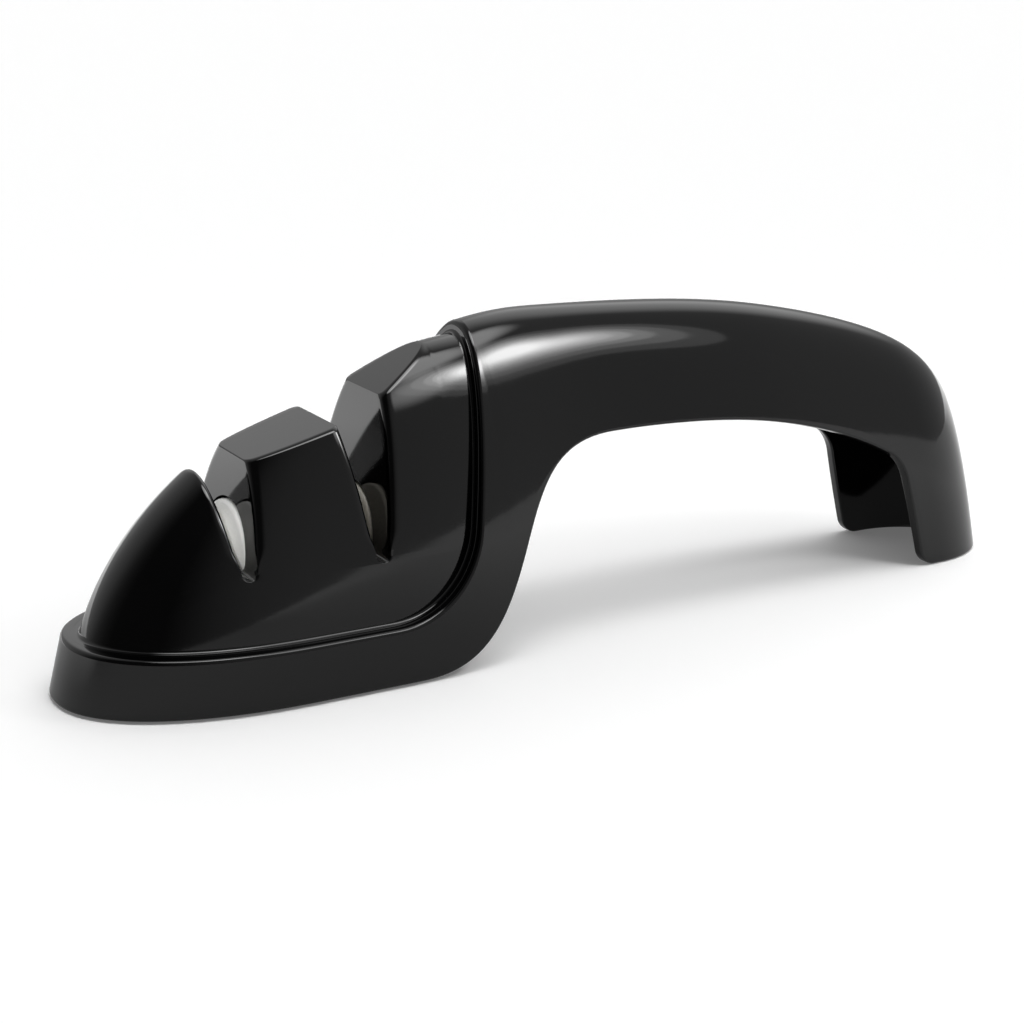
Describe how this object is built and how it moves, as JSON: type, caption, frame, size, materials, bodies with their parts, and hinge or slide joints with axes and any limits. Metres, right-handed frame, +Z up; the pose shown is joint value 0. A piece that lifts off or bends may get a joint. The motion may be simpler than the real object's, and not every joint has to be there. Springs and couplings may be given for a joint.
{
  "type": "manual knife sharpener",
  "caption": "Hand-held pull-through knife sharpener: boat-shaped base with V slots over spinning ceramic wheels, and a hollow arched handle ending in a rear leg.",
  "frame": {"origin": "middle of the footprint, on the table", "axes": "+X from the nose to the rear leg, +Z up, the near side of the picture is -Y"},
  "size_m": [0.2159, 0.0482, 0.0647],
  "materials": {
    "shell_black": "polished black moulding",
    "chassis_black": "plain black moulding",
    "pad_rubber": "matte, ribbed",
    "steel": "bright turned steel",
    "bronze": "sintered bearing bronze",
    "white_ceramic": "fine ground",
    "ivory_ceramic": "coarse ground"
  },
  "bodies": {
    "body": {"housing": "shell_black", "head_cap": "shell_black", "base_plate": "chassis_black", "grip_pad": "pad_rubber", "head_screws": "steel", "carrier_screws": "steel", "front_carrier": "chassis_black", "front_bushes": "bronze", "rear_carrier": "chassis_black", "rear_bushes": "bronze"},
    "front_roller": {"front_axle": "steel", "front_fore_wheel": "white_ceramic", "front_aft_wheel": "white_ceramic", "front_shim": "steel", "front_washers": "steel", "front_rings": "steel"},
    "rear_roller": {"rear_axle": "steel", "rear_fore_wheel": "ivory_ceramic", "rear_aft_wheel": "ivory_ceramic", "rear_shim": "steel", "rear_washers": "steel", "rear_rings": "steel"}
  },
  "joints": [
    {"name": "front_spin", "type": "hinge", "parent": "body", "child": "front_roller", "pos_m": [-0.0752, 0, 0.024], "axis": [1, 0, 0], "continuous": true},
    {"name": "rear_spin", "type": "hinge", "parent": "body", "child": "rear_roller", "pos_m": [-0.0494, 0, 0.024], "axis": [1, 0, 0], "continuous": true}
  ]
}
